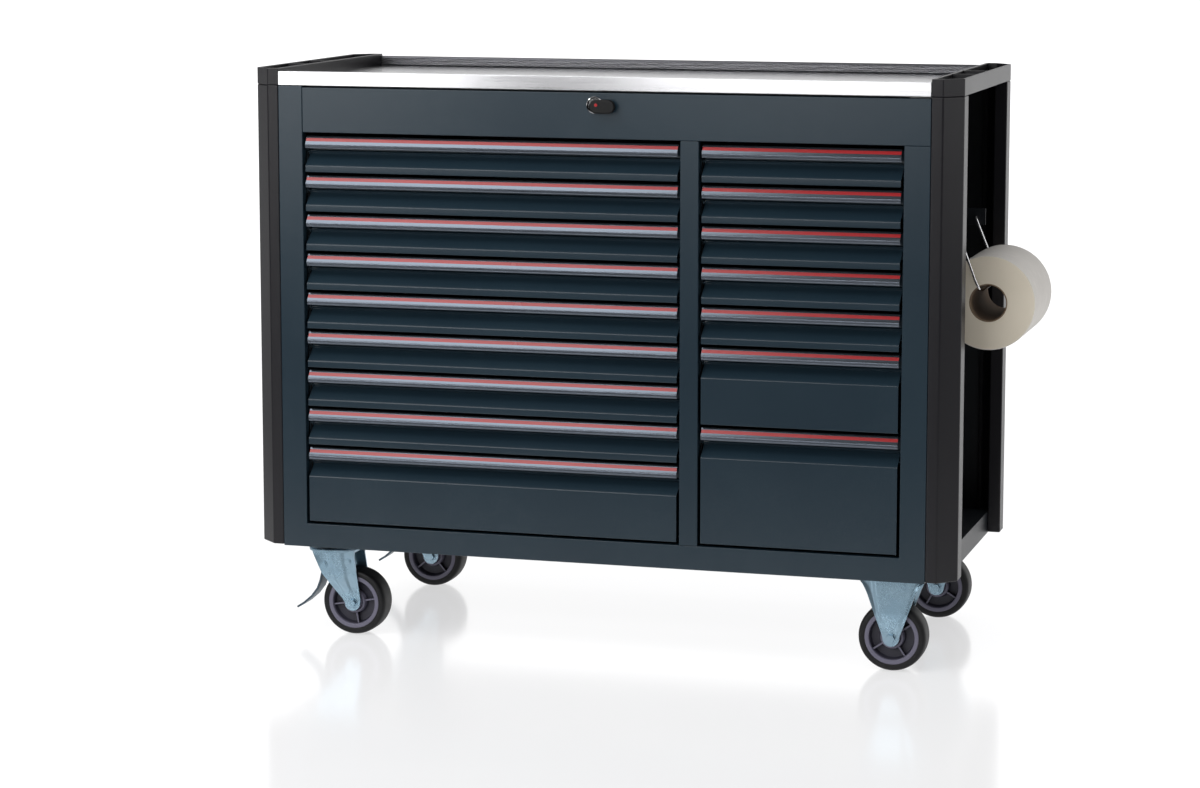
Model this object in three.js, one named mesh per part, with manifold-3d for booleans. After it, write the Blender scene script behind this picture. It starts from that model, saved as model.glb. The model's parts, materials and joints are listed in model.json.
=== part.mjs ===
// A rolling tool chest: a welded steel body on four castors, sixteen drawers in two columns, a recessed
// steel worktop between two moulded side trays, and a paper roll hung in the right-hand side recess.
// Sizes are in millimetres. +Z is up, the drawers open towards -Y and +X is the chest's right-hand side.
// The origin is on the floor under the middle of the whole object, paper roll and key included.

import * as THREE from "three";
import { mergeVertices } from "three/addons/utils/BufferGeometryUtils.js";
import Module from "manifold-3d";

const wasm = await Module();
wasm.setup();

// ---------------------------------------------------------------- driving dimensions

const chestWidth = 1366; // over the corner posts
const chestDepth = 575; // over the corner posts
const frameBottom = 176; // lower edge of the front frame
const postBottom = 178;
const bodyTop = 1066; // top of the front frame and the corner posts
const apronTop = 1092.5; // top edge of the worktop's front apron
const trayTop = 1098; // top of the side trays, the highest point
const gap = 0.3; // between pieces that touch

const sheet = 2; // sheet steel of the body and the drawers
const post = { wide: 54.7, chamferX: 33.6, chamferY: 31.8, wingEnd: 71.3, wingThick: 24.7, thick: 18 };
const frame = { deep: 18, openingTop: 977.6, openingBottom: 221.4 };

const unit = 75; // one step of drawer height
const firstDrawerTop = 977;
const columns = [
  { side: "left", from: -580, to: 163, units: [1, 1, 1, 1, 1, 1, 1, 1, 2] },
  { side: "right", from: 198, to: 580, units: [1, 1, 1, 1, 1, 2, 3] },
];
const drawer = {
  sideGap: 5.7, // from the drawer's face to the opening
  boxInset: 3.6, // from the end of the face to the side of the box
  boxBack: 498,
  wallTop: -12,
  floorRise: 5,
};
const slide = { high: 30, thick: 3.4, front: 34, back: 494, drop: 50, space: 13 };

const wallX = 586; // outer face of the side walls, at the bottom of the side recesses
const base = { under: 184, thick: 3, railX: 658, railTop: 219 };
const deck = { floor: 1074.5, lip: 12, back: 568.5, upstandTop: 1094 };

const tray = {
  floor: 1071,
  innerWall: 5,
  outerWall: 4.5,
  pockets: [
    [8, 176],
    [181, 292],
    [297, 567],
  ],
};

const roll = { x: 705, z: 674, radius: 88, core: 33.6, long: 200, middle: chestDepth / 2 };
const holder = { wire: 2.5, pivotX: 644, pivotZ: 813, cornerX: 690, cornerZ: 699, reach: 107.5 };
const lock = { z: 1040, plug: 9, bowLong: 49, bowHigh: 26, bowX: 17.5, bowZ: -2, near: -8, far: -18 };

const castor = {
  x: 561,
  y: 59,
  swivelX: 556,
  trail: 57,
  plateTop: base.under - gap,
  plate: [140, 80, 4],
  wheel: 64,
  tread: 50,
  rim: 50.7,
  bore: 6.6,
  legInside: 28,
  legThick: 3.5,
  toe: 15.5,
};
const pedal = { x: -3, z: 135, halfWidth: 21, thick: 4 };

const middleX = (roll.x + roll.radius - chestWidth / 2) / 2;
const middleY = (chestDepth + lock.far) / 2;

// ---------------------------------------------------------------- finishes

const finish = (color, roughness, metalness) => () =>
  new THREE.MeshStandardMaterial({ color, roughness, metalness });
const bluePowder = finish(0x333d47, 0.45, 0.3);
const darkPowder = finish(0x1d2024, 0.55, 0.2);
const blackPlastic = finish(0x2a292e, 0.6, 0);
const anodised = finish(0x3a4048, 0.3, 0.8);
const stainless = finish(0xbebebf, 0.3, 1);
const zinc = finish(0x95a9b4, 0.35, 0.9);
const wire = finish(0xb8b8b8, 0.3, 1);
const tyreRubber = finish(0x17171a, 0.8, 0);
const wheelPlastic = finish(0x6e6c7d, 0.5, 0);
const paper = finish(0xcdcdd2, 0.9, 0);

// ---------------------------------------------------------------- solids

function manifoldOf(geometry, turned) {
  const bare = new THREE.BufferGeometry().setAttribute("position", geometry.getAttribute("position"));
  if (geometry.index) bare.setIndex(geometry.index);
  const merged = mergeVertices(bare, 1e-4);
  const triVerts = new Uint32Array(merged.index.array);
  if (turned) triVerts.reverse();
  const vertProperties = new Float32Array(merged.getAttribute("position").array);
  return new wasm.Manifold(new wasm.Mesh({ numProp: 3, vertProperties, triVerts }));
}

// A geometry as a solid with its faces pointing out, whichever way its outline was drawn.
function solidOf(geometry) {
  const made = manifoldOf(geometry, false);
  return made.volume() > 0 ? made : manifoldOf(geometry, true);
}

function geometryOf(solid) {
  const mesh = solid.getMesh();
  const geometry = new THREE.BufferGeometry();
  geometry.setAttribute("position", new THREE.BufferAttribute(mesh.vertProperties, 3));
  geometry.setIndex(new THREE.BufferAttribute(mesh.triVerts, 1));
  geometry.computeVertexNormals();
  return geometry;
}

const join = (solids) => solids.reduce((a, b) => a.add(b));
const cut = (solid, tools) => tools.reduce((a, b) => a.subtract(b), solid);

function box([x0, x1], [y0, y1], [z0, z1]) {
  const geometry = new THREE.BoxGeometry(x1 - x0, y1 - y0, z1 - z0);
  geometry.translate((x0 + x1) / 2, (y0 + y1) / 2, (z0 + z1) / 2);
  return solidOf(geometry);
}

function extruded(points, length) {
  const outline = new THREE.Shape(points.map(([u, v]) => new THREE.Vector2(u, v)));
  return new THREE.ExtrudeGeometry(outline, { depth: length, bevelEnabled: false, steps: 1 });
}

const xAxis = new THREE.Vector3(1, 0, 0);
const yAxis = new THREE.Vector3(0, 1, 0);
const zAxis = new THREE.Vector3(0, 0, 1);

// Outlines given as (y, z), (x, z) and (x, y) pairs, run along the third axis.
function alongX(points, from, to) {
  const turn = new THREE.Matrix4().makeBasis(yAxis, zAxis, xAxis).setPosition(from, 0, 0);
  return solidOf(extruded(points, to - from).applyMatrix4(turn));
}

function alongY(points, from, to) {
  const turn = new THREE.Matrix4().makeBasis(xAxis, zAxis, yAxis.clone().negate()).setPosition(0, to, 0);
  return solidOf(extruded(points, to - from).applyMatrix4(turn));
}

function alongZ(points, from, to) {
  return solidOf(extruded(points, to - from).translate(0, 0, from));
}

// A turned solid about a line along Y through (x, z), from closed pairs of radius and y.
function turnedAboutY(profile, segments, x = 0, z = 0) {
  const closed = [...profile, profile[0]].map(([r, y]) => new THREE.Vector2(r, y));
  return solidOf(new THREE.LatheGeometry(closed, segments).translate(x, 0, z));
}

function rodAlongY(radius, from, to, x, z, segments = 16) {
  const geometry = new THREE.CylinderGeometry(radius, radius, to - from, segments);
  return solidOf(geometry.translate(x, (from + to) / 2, z));
}

function arc(cx, cy, radius, fromDegrees, toDegrees, steps) {
  return Array.from({ length: steps + 1 }, (_, i) => {
    const a = THREE.MathUtils.degToRad(fromDegrees + ((toDegrees - fromDegrees) * i) / steps);
    return [cx + radius * Math.cos(a), cy + radius * Math.sin(a)];
  });
}

// The outline of a bent sheet: the line given, and the same line moved square to itself by the thickness.
function bentSheet(line, thickness) {
  const square = line.slice(1).map(([u, v], i) => {
    const [du, dv] = [u - line[i][0], v - line[i][1]];
    const length = Math.hypot(du, dv);
    return [-dv / length, du / length];
  });
  const moved = line.map(([u, v], i) => {
    const a = square[Math.max(0, i - 1)];
    const b = square[Math.min(square.length - 1, i)];
    const scale = thickness / (1 + a[0] * b[0] + a[1] * b[1]);
    return [u + (a[0] + b[0]) * scale, v + (a[1] + b[1]) * scale];
  });
  return [...line, ...moved.reverse()];
}

const mirrorX = (points) => points.map(([x, y]) => [-x, y]);
const mirrorDepth = (points) => points.map(([x, y]) => [x, chestDepth - y]);

function piece(name, solid, material, group) {
  const mesh = new THREE.Mesh(geometryOf(solid), material());
  mesh.name = name;
  group.add(mesh);
  return mesh;
}

// ---------------------------------------------------------------- body

const chest = new THREE.Group();
chest.position.set(-middleX, -middleY, 0);

const postInner = chestWidth / 2 - post.wide;
const half = chestWidth / 2;

// One face-wide welded body: base, walls, back, roof, centre partition and the fixed slide members.
function carcass() {
  const front = frame.deep + gap;
  const back = chestDepth - 2;
  const sideRail = [post.wingEnd - 29, chestDepth - post.wingEnd + 29];
  const floor = [base.under, base.under + base.thick];
  const height = [base.under, bodyTop - gap];
  const parts = [
    box([-postInner + gap, postInner - gap], [front, back], floor),
    box([-base.railX, base.railX], sideRail, floor),
    box([-postInner + gap, postInner - gap], [back - sheet, back], height),
    box([-postInner + gap, postInner - gap], [front, back], [bodyTop - gap - sheet, bodyTop - gap]),
    box([-postInner + gap, postInner - gap], [back - 4, back], [bodyTop - 4, deck.upstandTop]),
  ];
  for (const side of [-1, 1]) {
    const across = (x0, x1) => [Math.min(side * x0, side * x1), Math.max(side * x0, side * x1)];
    parts.push(
      box(across(wallX - sheet, wallX), [front, back], height),
      box(across(base.railX - sheet, base.railX), sideRail, [frameBottom, base.railTop]),
      box(across(wallX - 1, base.railX), sideRail, [base.railTop - sheet, base.railTop]),
    );
  }
  for (const column of columns) {
    const ends = faceEnds(column);
    const walls = [ends[0] + drawer.boxInset - slide.space, ends[1] - drawer.boxInset + slide.space];
    const partition = column.side === "left" ? [walls[1], walls[1] + sheet] : [walls[0] - sheet, walls[0]];
    parts.push(box(partition, [front, back - 1], height));
    for (const { top } of drawersOf(column)) {
      const z = slideHeight(top);
      parts.push(
        box([walls[0] - 0.5, walls[0] + slide.thick], [slide.front, slide.back], z),
        box([walls[1] - slide.thick, walls[1] + 0.5], [slide.front, slide.back], z),
      );
    }
  }
  return join(parts);
}

function faceEnds(column) {
  return [column.from + drawer.sideGap, column.to - drawer.sideGap];
}

function drawersOf(column) {
  let top = firstDrawerTop;
  return column.units.map((units, i) => {
    const made = { name: `drawer_${column.side}_${i + 1}`, top, high: units * unit };
    top -= made.high;
    return made;
  });
}

function slideHeight(top) {
  const middle = top - slide.drop;
  return [middle - slide.high / 2, middle + slide.high / 2];
}

// Folded front frame: a sheet face with returns round both openings and round its outside.
function frontFrame() {
  const wide = postInner - gap;
  const openings = columns.map(({ from, to }) => [from, to]);
  const opening = ([x0, x1], y, grow) =>
    box([x0 - grow, x1 + grow], y, [frame.openingBottom - grow, frame.openingTop + grow]);
  const hollow = openings.reduce(
    (space, span) => space.subtract(opening(span, [0, frame.deep + 2], sheet)),
    box(
      [-wide + sheet, wide - sheet],
      [sheet, frame.deep + 1],
      [frameBottom + sheet, bodyTop - gap - sheet],
    ),
  );
  const face = box([-wide, wide], [0, frame.deep], [frameBottom, bodyTop - gap]);
  const lockHole = rodAlongY(lock.plug + 0.6, -1, sheet + 1, 0, lock.z, 20);
  return cut(face, [...openings.map((span) => opening(span, [-1, frame.deep + 1], 0)), hollow, lockHole]);
}

// Corner post: a chamfered angle profile. The outline is that of the front right-hand corner.
const postOutline = [
  [postInner, 0],
  [half - post.chamferX, 0],
  [half, post.chamferY],
  [half, post.wingEnd],
  [half - post.wingThick, post.wingEnd],
  [half - post.wingThick, post.wingEnd - 29],
  [half - post.wingThick - 22, post.thick],
  [postInner, post.thick],
];

const postCorners = {
  post_front_right: postOutline,
  post_front_left: mirrorX(postOutline),
  post_rear_right: mirrorDepth(postOutline),
  post_rear_left: mirrorX(mirrorDepth(postOutline)),
};

// Side tray: a moulded bar that caps both posts of one side, with three pockets open at the top.
function sideTray(side) {
  const outline = [
    [postInner, 0],
    [half - post.chamferX, 0],
    [half, post.chamferY],
    [half, chestDepth - post.chamferY],
    [half - post.chamferX, chestDepth],
    [postInner, chestDepth],
  ];
  const pocketX = [postInner + tray.innerWall, half - tray.outerWall];
  const inset = tray.outerWall;
  const clip = [
    [postInner, inset],
    [half - post.chamferX - 2, inset],
    [half - inset, post.chamferY + 2],
    [half - inset, chestDepth - post.chamferY - 2],
    [half - post.chamferX - 2, chestDepth - inset],
    [postInner, chestDepth - inset],
  ];
  const clipped = alongZ(clip, tray.floor, trayTop + 1);
  const pockets = tray.pockets.map((span) =>
    clipped.intersect(box(pocketX, span, [tray.floor, trayTop + 1])),
  );
  const right = cut(alongZ(outline, bodyTop + gap, trayTop), pockets);
  return side === "right" ? right : right.mirror([1, 0, 0]);
}

// Stainless worktop: a shallow pan whose front apron stands above the working surface.
function worktop() {
  const wide = postInner - gap;
  const section = [
    [0, bodyTop + gap],
    [sheet, bodyTop + gap],
    [sheet, deck.floor - 3],
    [deck.back, deck.floor - 3],
    [deck.back, deck.floor],
    [deck.lip, deck.floor],
    [deck.lip, apronTop],
    [0, apronTop],
  ];
  return alongX(section, -wide, wide);
}

piece("carcass_shell", carcass(), darkPowder, chest);
piece("front_frame", frontFrame(), bluePowder, chest);
for (const [name, outline] of Object.entries(postCorners)) {
  piece(name, alongZ(outline, postBottom, bodyTop), blackPlastic, chest);
}
piece("side_tray_left", sideTray("left"), blackPlastic, chest);
piece("side_tray_right", sideTray("right"), blackPlastic, chest);
piece("worktop", worktop(), stainless, chest);

// ---------------------------------------------------------------- drawers

// Front sheet of a drawer as (y, z) from its top edge down: the finger recess, the sloping face under it
// and the upright face, with a return at the foot.
function frontSheet(high) {
  return bentSheet(
    [
      [14, -9],
      [28, -9],
      [28, -37],
      [25.5, -40],
      [1, -62.5],
      [1, -high],
      [14, -high],
    ],
    sheet,
  );
}

// Open box behind the front sheet, with the drawer's slide member on each side.
function drawerBox(wide, high) {
  const end = wide / 2;
  const side = end - drawer.boxInset;
  const foot = -high + drawer.floorRise;
  const wall = [
    [29, drawer.wallTop],
    [29, -37],
    [26.5, -40],
    [2, -62.5],
    [2, foot],
    [drawer.boxBack, foot],
    [drawer.boxBack, drawer.wallTop],
  ];
  const z = slideHeight(0);
  const parts = [
    alongX(frontSheet(high), -end, end),
    box([-side, side], [2, drawer.boxBack], [foot, foot + sheet]),
    box([-side, side], [drawer.boxBack - sheet, drawer.boxBack], [foot, drawer.wallTop]),
  ];
  for (const sign of [-1, 1]) {
    const span = (a, b) => (sign < 0 ? [-b, -a] : [a, b]);
    parts.push(
      alongX(wall, ...span(side - sheet, side)),
      box(span(side - 0.5, side + slide.thick), [slide.front, slide.back], z),
    );
  }
  return join(parts);
}

// Extruded pull: a sloping upper face, a round nose and a lip to pull on, open from below.
const handleSection = [
  [13.6, -6.6],
  [9.5, -6.6],
  [1.3, -18.3],
  [0.3, -20.2],
  [0, -22.4],
  [0.6, -25.6],
  [2.6, -29.2],
  [4.4, -30],
  [5.4, -28.8],
  [3.6, -25],
  [3.8, -21.4],
  [10.2, -12.2],
  [13.6, -11],
];

for (const column of columns) {
  const [from, to] = faceEnds(column);
  for (const { name, top, high } of drawersOf(column)) {
    const group = new THREE.Group();
    group.position.set((from + to) / 2, 0, top);
    chest.add(group);
    piece(`${name}_box`, drawerBox(to - from, high), bluePowder, group);
    piece(`${name}_handle`, alongX(handleSection, (from - to) / 2, (to - from) / 2), anodised, group);
  }
}

// ---------------------------------------------------------------- lock and paper roll

function lockKey() {
  const bend = lock.bowHigh / 2;
  const reach = lock.bowLong / 2 - bend;
  const bow = [
    ...arc(lock.bowX + reach, lock.bowZ, bend, -90, 90, 10),
    ...arc(lock.bowX - reach, lock.bowZ, bend, 90, 270, 10),
  ];
  return join([
    rodAlongY(lock.plug, -3, frame.deep - 2, 0, 0, 20),
    box([-2, 8], [lock.near - 1, -2], [-5, 5]),
    alongY(bow, lock.far, lock.near),
  ]);
}

const key = piece("lock_key", lockKey(), blackPlastic, chest);
key.position.set(0, 0, lock.z);

// Holder: a plate on the recess wall with two ears, and a wire arm at each end of the roll.
function rollHolder() {
  const ear = holder.reach + 8.5;
  const plate = box([wallX + gap, wallX + 3.3], [-ear, ear], [782, 846]);
  const sides = [-1, 1].map((sign) => {
    const near = sign * (ear - 3);
    const far = sign * ear;
    const lug = box([wallX + 3, 662], [Math.min(near, far), Math.max(near, far)], [796, 830]);
    const route = [
      [holder.pivotX, ear - 1.5, holder.pivotZ],
      [holder.pivotX, holder.reach + 3, holder.pivotZ],
      [holder.pivotX + 2, holder.reach, holder.pivotZ - 5],
      [(holder.pivotX + holder.cornerX) / 2, holder.reach, (holder.pivotZ + holder.cornerZ) / 2],
      [holder.cornerX - 1.5, holder.reach, holder.cornerZ + 4],
      [holder.cornerX + 1, holder.reach - 4, holder.cornerZ + 0.5],
      [holder.cornerX + 12, holder.reach - 45, holder.cornerZ + 4],
    ].map(([x, y, z]) => new THREE.Vector3(x, y * sign, z));
    const section = new THREE.Shape(
      arc(0, 0, holder.wire, 0, 300, 5).map(([u, v]) => new THREE.Vector2(u, v)),
    );
    const curve = new THREE.CatmullRomCurve3(route, false, "centripetal");
    const arm = new THREE.ExtrudeGeometry(section, { steps: 18, extrudePath: curve });
    return join([lug, solidOf(arm)]);
  });
  return join([plate, ...sides]);
}

const holderMesh = piece("roll_holder", rollHolder(), wire, chest);
holderMesh.position.set(0, roll.middle, 0);

const rollProfile = [
  [roll.core, -roll.long / 2],
  [roll.radius, -roll.long / 2],
  [roll.radius, roll.long / 2],
  [roll.core, roll.long / 2],
];
const rollMesh = piece("paper_roll", turnedAboutY(rollProfile, 36), paper, chest);
rollMesh.position.set(roll.x, roll.middle, roll.z);

// ---------------------------------------------------------------- castors

const legOutside = castor.legInside + castor.legThick;

// Tyre and wheel centre, turned about the axle.
const tyreProfile = [
  [castor.rim + gap, -castor.tread / 2 + 1],
  [castor.wheel - 4, -castor.tread / 2],
  [castor.wheel, -castor.tread / 2 + 7],
  [castor.wheel, castor.tread / 2 - 7],
  [castor.wheel - 4, castor.tread / 2],
  [castor.rim + gap, castor.tread / 2 - 1],
];

function wheelCentre() {
  const profile = [
    [castor.bore, -25],
    [15, -25],
    [19, -8],
    [43, -8],
    [45, -24],
    [castor.rim, -24],
    [castor.rim, 24],
    [45, 24],
    [43, 8],
    [19, 8],
    [15, 25],
    [castor.bore, 25],
  ];
  const ribs = [0, 90].map((turn) => {
    const geometry = new THREE.BoxGeometry(90, 36, 3.4).rotateY(THREE.MathUtils.degToRad(turn));
    return solidOf(geometry);
  });
  const clear = rodAlongY(castor.bore, -30, 30, 0, 0, 28);
  return turnedAboutY(profile, 28).add(join(ribs).subtract(clear));
}

// Bolt through the wheel, joined to both legs.
const axle = (x) => rodAlongY(5.8, -legOutside - 6, legOutside + 6, x, castor.wheel, 12);

const bothLegs = (outline) => [
  alongY(outline, -legOutside, -castor.legInside),
  alongY(outline, castor.legInside, legOutside),
];

const mountingPlate = () => {
  const [long, wide, thick] = castor.plate;
  return box([-long / 2, long / 2], [-wide / 2, wide / 2], [castor.plateTop - thick, castor.plateTop]);
};

function fixedFork() {
  const under = castor.plateTop - castor.plate[2];
  const outline = [
    ...arc(0, castor.wheel, castor.toe, -180, 0, 8),
    [40, 132],
    [50, 158],
    [63, 171],
    [65, under + 1],
    [-65, under + 1],
    [-63, 171],
    [-50, 158],
    [-40, 132],
  ];
  return join([mountingPlate(), ...bothLegs(outline), axle(0)]);
}

function swivelPlate() {
  const disc = (radius, from, to) => alongZ(arc(0, 0, radius, 0, 345, 23), from, to);
  return join([mountingPlate(), disc(40, 173, castor.plateTop - 3), disc(33, 168, 174)]);
}

function swivelFork() {
  const legs = [
    ...arc(castor.trail, castor.wheel, castor.toe, -148, 0, 7),
    [61.5, 158],
    [61.5, 167.5],
    [-26, 167.5],
    [-22, 153],
    [-5, 118],
  ];
  const crown = [...arc(0, 0, 40, 60, 300, 16), [61.5, -legOutside], [61.5, legOutside]];
  const stopper = rodAlongY(4, -legOutside - 1, legOutside + 1, pedal.x, pedal.z, 10);
  return join([
    alongZ(crown, 161.5, 167.5),
    ...bothLegs(legs),
    axle(castor.trail),
    cut(stopper, [rodAlongY(9, -pedal.halfWidth - 1, pedal.halfWidth + 1, pedal.x, pedal.z, 10)]),
  ]);
}

// Brake pedal, drawn round its own pivot.
function brakePedal() {
  const arm = bentSheet(
    [
      [1, 3],
      [-8, -14],
      [-12, -32],
      [-18, -48],
      [-30, -64],
      [-46, -78],
      [-60, -87],
    ],
    pedal.thick,
  );
  return join([
    alongY(arm, -pedal.halfWidth, pedal.halfWidth),
    rodAlongY(6, -pedal.halfWidth, pedal.halfWidth, 0, 0, 12),
  ]);
}

function castorAt(corner, swivels, x, y) {
  const group = new THREE.Group();
  group.position.set(x, y, 0);
  chest.add(group);
  const wheelX = swivels ? castor.trail : 0;
  if (swivels) {
    piece(`castor_${corner}_plate`, swivelPlate(), zinc, group);
    piece(`castor_${corner}_fork`, swivelFork(), zinc, group);
    const brake = piece(`castor_${corner}_brake_pedal`, brakePedal(), zinc, group);
    brake.position.set(pedal.x, 0, pedal.z);
  } else {
    piece(`castor_${corner}_fork`, fixedFork(), zinc, group);
  }
  const tyre = piece(`castor_${corner}_tyre`, turnedAboutY(tyreProfile, 28), tyreRubber, group);
  const centre = piece(`castor_${corner}_wheel`, wheelCentre(), wheelPlastic, group);
  for (const mesh of [tyre, centre]) mesh.position.set(wheelX, 0, castor.wheel);
}

castorAt("front_left", true, -castor.swivelX, castor.y);
castorAt("rear_left", true, -castor.swivelX, chestDepth - castor.y);
castorAt("front_right", false, castor.x, castor.y);
castorAt("rear_right", false, castor.x, chestDepth - castor.y);

export default chest;
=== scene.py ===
import json
import math

import bmesh
import bpy
from mathutils import Matrix, Vector

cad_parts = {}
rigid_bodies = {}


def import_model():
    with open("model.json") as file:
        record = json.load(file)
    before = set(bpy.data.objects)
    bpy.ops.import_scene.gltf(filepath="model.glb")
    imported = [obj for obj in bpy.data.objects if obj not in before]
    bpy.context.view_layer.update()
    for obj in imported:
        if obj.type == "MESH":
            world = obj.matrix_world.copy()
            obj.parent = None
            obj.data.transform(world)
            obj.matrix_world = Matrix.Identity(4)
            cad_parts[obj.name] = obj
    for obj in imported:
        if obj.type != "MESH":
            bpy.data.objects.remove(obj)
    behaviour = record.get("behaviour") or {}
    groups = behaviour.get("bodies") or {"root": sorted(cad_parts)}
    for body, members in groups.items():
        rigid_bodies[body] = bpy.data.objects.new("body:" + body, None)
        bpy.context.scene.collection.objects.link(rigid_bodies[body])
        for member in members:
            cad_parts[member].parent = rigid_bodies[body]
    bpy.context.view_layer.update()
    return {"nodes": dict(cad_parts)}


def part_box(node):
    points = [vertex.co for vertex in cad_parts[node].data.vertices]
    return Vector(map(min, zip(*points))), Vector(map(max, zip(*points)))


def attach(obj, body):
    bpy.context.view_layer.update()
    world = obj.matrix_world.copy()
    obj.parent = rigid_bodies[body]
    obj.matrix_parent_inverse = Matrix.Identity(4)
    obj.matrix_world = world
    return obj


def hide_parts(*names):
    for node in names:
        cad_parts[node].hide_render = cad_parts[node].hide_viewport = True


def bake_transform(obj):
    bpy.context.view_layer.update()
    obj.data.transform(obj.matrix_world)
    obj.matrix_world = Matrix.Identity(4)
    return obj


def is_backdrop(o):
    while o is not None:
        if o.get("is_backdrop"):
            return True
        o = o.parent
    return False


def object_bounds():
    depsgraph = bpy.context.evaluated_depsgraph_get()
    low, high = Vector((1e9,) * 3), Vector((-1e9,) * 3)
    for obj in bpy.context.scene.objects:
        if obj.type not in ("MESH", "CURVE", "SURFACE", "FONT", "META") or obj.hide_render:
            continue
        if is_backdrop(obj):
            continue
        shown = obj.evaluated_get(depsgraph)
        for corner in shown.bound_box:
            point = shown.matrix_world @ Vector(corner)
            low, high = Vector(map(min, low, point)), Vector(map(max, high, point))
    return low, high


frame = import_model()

panelLow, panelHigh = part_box("front_frame")
chestX = (panelLow.x + panelHigh.x) / 2    # middle of the chest
chestY = panelLow.y                        # plane of its front


def at(x, y, z):
    # millimetres from the middle of the chest, its front face and the floor
    return Vector((chestX + x / 1000, chestY + y / 1000, z / 1000))


class Wire:
    # a shader socket that can stand in a sum
    def __init__(self, finish, socket):
        self.finish = finish
        self.socket = socket

    def work(self, operation, first, second):
        return self.finish.node("ShaderNodeMath", {"operation": operation}, {0: first, 1: second})

    def __add__(self, other):
        return self.work("ADD", self, other)

    def __radd__(self, other):
        return self.work("ADD", other, self)

    def __sub__(self, other):
        return self.work("SUBTRACT", self, other)

    def __rsub__(self, other):
        return self.work("SUBTRACT", other, self)

    def __mul__(self, other):
        return self.work("MULTIPLY", self, other)

    def __rmul__(self, other):
        return self.work("MULTIPLY", other, self)

    def __truediv__(self, other):
        return self.work("DIVIDE", self, other)

    def __rtruediv__(self, other):
        return self.work("DIVIDE", other, self)

    def __pow__(self, other):
        return self.work("POWER", self, other)


class Finish:
    # one Principled material, with helpers for its patterns
    def __init__(self, name, metallic=0.0, specular=0.5):
        self.material = bpy.data.materials.new(name)
        self.material.use_nodes = True
        self.tree = self.material.node_tree
        self.shader = self.tree.nodes["Principled BSDF"]
        self.shader.inputs["Metallic"].default_value = metallic
        self.shader.inputs["Specular IOR Level"].default_value = specular
        self.place = self.node("ShaderNodeTexCoord", out="Object")

    def join(self, value, socket):
        if isinstance(value, Wire):
            self.tree.links.new(value.socket, socket)
        else:
            socket.default_value = value

    def node(self, kind, settings=None, inputs=None, out=0):
        made = self.tree.nodes.new(kind)
        for key, value in (settings or {}).items():
            if key == "stops":
                for i, (position, tone) in enumerate(value):
                    stop = made.color_ramp.elements[i] if i < 2 else made.color_ramp.elements.new(position)
                    stop.position, stop.color = position, (tone, tone, tone, 1)
            else:
                setattr(made, key, value)
        for key, value in (inputs or {}).items():
            self.join(value, made.inputs[key])
        return Wire(self, made.outputs[out])

    def scaled(self, x, y, z):
        return self.node("ShaderNodeVectorMath", {"operation": "MULTIPLY"}, {0: self.place, 1: (x, y, z)})

    def noise(self, scale, detail=2.0, vector=None, rough=0.5):
        return self.node("ShaderNodeTexNoise", {}, {"Vector": vector or self.place, "Scale": scale,
                         "Detail": detail, "Roughness": rough})

    def ramp(self, value, *stops):
        return self.node("ShaderNodeValToRGB", {"stops": stops}, {0: value})

    def mix(self, amount, first, second):
        return self.node("ShaderNodeMix", {"data_type": "RGBA"}, {0: amount, 6: first, 7: second}, out=2)

    def parts(self, out):
        return self.node("ShaderNodeSeparateXYZ", {}, {0: self.place}, out)

    def finished(self, color, rough, height=None, strength=0.2, depth=0.0002):
        self.join(color, self.shader.inputs["Base Color"])
        self.join(rough, self.shader.inputs["Roughness"])
        if height is not None:
            bump = self.node("ShaderNodeBump", {},
                             {"Strength": strength, "Distance": depth, "Height": height})
            self.join(bump, self.shader.inputs["Normal"])
        return self.material


def rgb(red, green, blue):
    # screen colour, 0 to 255, as a linear one
    def straight(v):
        v /= 255
        return v / 12.92 if v <= 0.04045 else ((v + 0.055) / 1.055) ** 2.4
    return (straight(red), straight(green), straight(blue), 1.0)


def powderCoat(name, color, lighter, rough, specular):
    # sprayed and baked: fine orange peel, a few faint clouds of thicker coat
    made = Finish(name, specular=specular)
    peel = made.noise(900, 2)
    cloud = made.noise(3.2, 3)
    fleck = made.noise(2600, 1)
    shade = made.mix(made.ramp(cloud, (0.35, 0), (0.7, 1)) * 0.6 + fleck * 0.15, color, lighter)
    return made.finished(shade, rough + (cloud - 0.5) * 0.06 + (fleck - 0.5) * 0.04, peel + fleck * 0.3, 0.05)


def mouldedPlastic(name, color, lighter, rough, specular, grain=1500, strength=0.25):
    # spark-eroded grain on the tool face, with faint flow marks
    made = Finish(name, specular=specular)
    pits = made.node("ShaderNodeTexVoronoi", {}, {"Vector": made.place, "Scale": grain})
    flow = made.noise(6, 4, made.scaled(1, 1, 0.25))
    shade = made.mix(flow * 0.8, color, lighter)
    return made.finished(shade, rough + (flow - 0.5) * 0.1, pits + made.noise(grain * 2, 1) * 0.5, strength)


def brushedSteel(name, color, lighter, rough, grain, metallic=1.0, strength=0.1):
    # grain runs along the piece; the long streaks vary gloss as well as height
    made = Finish(name, metallic=metallic)
    fine = made.noise(1, 3, made.scaled(*grain), 0.7)
    wide = made.noise(1, 2, made.scaled(*[g * 0.12 for g in grain]))
    shade = made.mix(made.ramp(fine, (0.3, 0), (0.7, 1)) * 0.7 + wide * 0.3, color, lighter)
    return made.finished(shade, rough + (fine - 0.5) * 0.16 + (wide - 0.5) * 0.1, fine + wide * 0.4, strength)


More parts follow.
